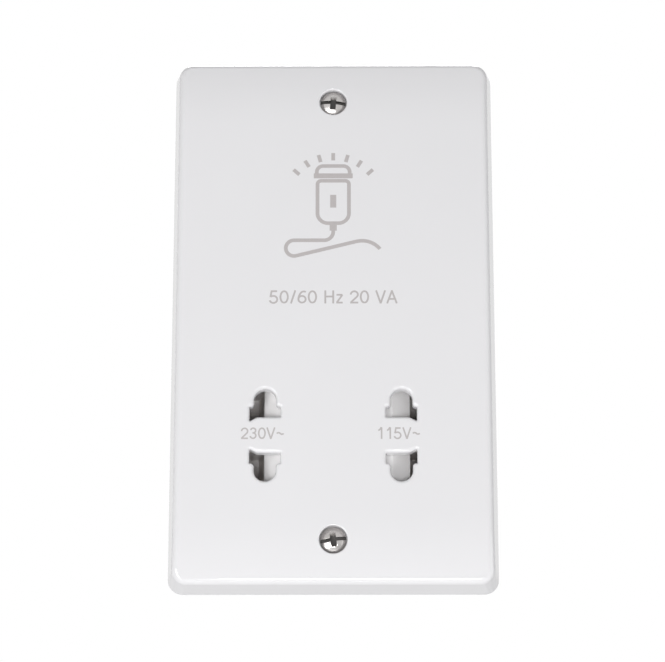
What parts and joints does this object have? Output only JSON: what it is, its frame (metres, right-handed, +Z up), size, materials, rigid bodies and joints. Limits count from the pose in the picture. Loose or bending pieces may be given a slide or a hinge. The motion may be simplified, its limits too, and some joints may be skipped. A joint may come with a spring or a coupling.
{
  "type": "dual-voltage shaver socket",
  "caption": "Upright white wall plate with shaver pin openings for two voltages, held by domed screws, with an interlock slider and an isolating transformer in a housing behind.",
  "frame": {"origin": "middle of the plate's rim, in the plane of the wall", "axes": "+Z up, -Y out of the wall towards the room, +Y into the wall box, +X to the right as seen from the room"},
  "size_m": [0.086, 0.0455, 0.146],
  "materials": {
    "plate_white": "gloss white moulding",
    "housing_white": "satin white moulding",
    "slider_white": "matt white moulding",
    "inner_white": "matt white moulding",
    "bobbin_plastic": "matt black moulding",
    "nickel": "nickel plated",
    "zinc_screws": "zinc plated",
    "contact_metal": "nickel plated spring bronze",
    "brass": "plain brass",
    "core_steel": "varnished laminations",
    "copper": "enamelled copper wire",
    "tape_yellow": "polyester tape",
    "cutout_black": "black case",
    "lead_brown": "insulation",
    "lead_blue": "insulation",
    "lead_green": "insulation",
    "lead_white": "insulation",
    "lead_red": "insulation",
    "lead_black": "insulation"
  },
  "bodies": {
    "socket": {"front_plate": "plate_white", "rear_housing": "housing_white", "contact_carrier": "inner_white", "contact_cover": "inner_white", "bobbin": "bobbin_plastic", "fixing_screws": "nickel", "housing_screws": "zinc_screws", "carrier_screws": "zinc_screws", "common_link": "contact_metal", "terminal_live": "brass", "terminal_earth": "brass", "terminal_neutral": "brass", "terminal_screws": "zinc_screws", "core_e_stack": "core_steel", "core_i_stack": "core_steel", "bobbin_pins": "contact_metal", "primary_winding": "copper", "secondary_winding": "copper", "winding_tape": "tape_yellow", "thermal_cutout": "cutout_black", "live_lead": "lead_brown", "cutout_lead": "lead_brown", "neutral_lead": "lead_blue", "earth_lead": "lead_green", "secondary_230_lead": "lead_white", "secondary_115_lead": "lead_red", "secondary_common_lead": "lead_black", "contact_230_upper": "contact_metal", "contact_230_lower": "contact_metal", "contact_115_upper": "contact_metal", "contact_115_lower": "contact_metal"},
    "interlock": {"interlock_slider": "slider_white"}
  },
  "joints": [
    {"name": "interlock_slide", "type": "slide", "parent": "socket", "child": "interlock", "axis": [1, 0, 0], "range_m": [-0.0056, 0.0036]}
  ]
}
